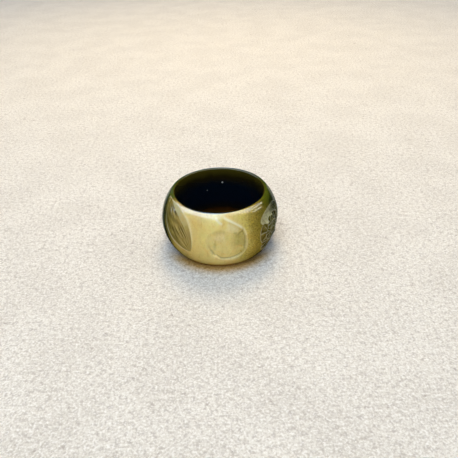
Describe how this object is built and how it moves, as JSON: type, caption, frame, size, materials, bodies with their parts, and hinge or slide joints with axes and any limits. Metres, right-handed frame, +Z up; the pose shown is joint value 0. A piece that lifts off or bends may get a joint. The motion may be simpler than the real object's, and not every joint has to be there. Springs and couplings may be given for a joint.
{
  "type": "resin finger ring",
  "caption": "Wide domed finger ring in marbled green and cream resin, its outside carved with a leaf, a bud and a rose.",
  "frame": {"origin": "on the bore's axis, in the plane of the lower rim, where the ring lies on a surface", "axes": "+Z up along the bore's axis; -Y is the front, where the bud is carved; +X is to the right of it, towards the rose"},
  "size_m": [0.024, 0.0237, 0.0122],
  "materials": {
    "resin": "polished translucent resin, marbled from cream to olive and dark green"
  },
  "bodies": {
    "root": {"ring_band": "resin"}
  },
  "joints": []
}
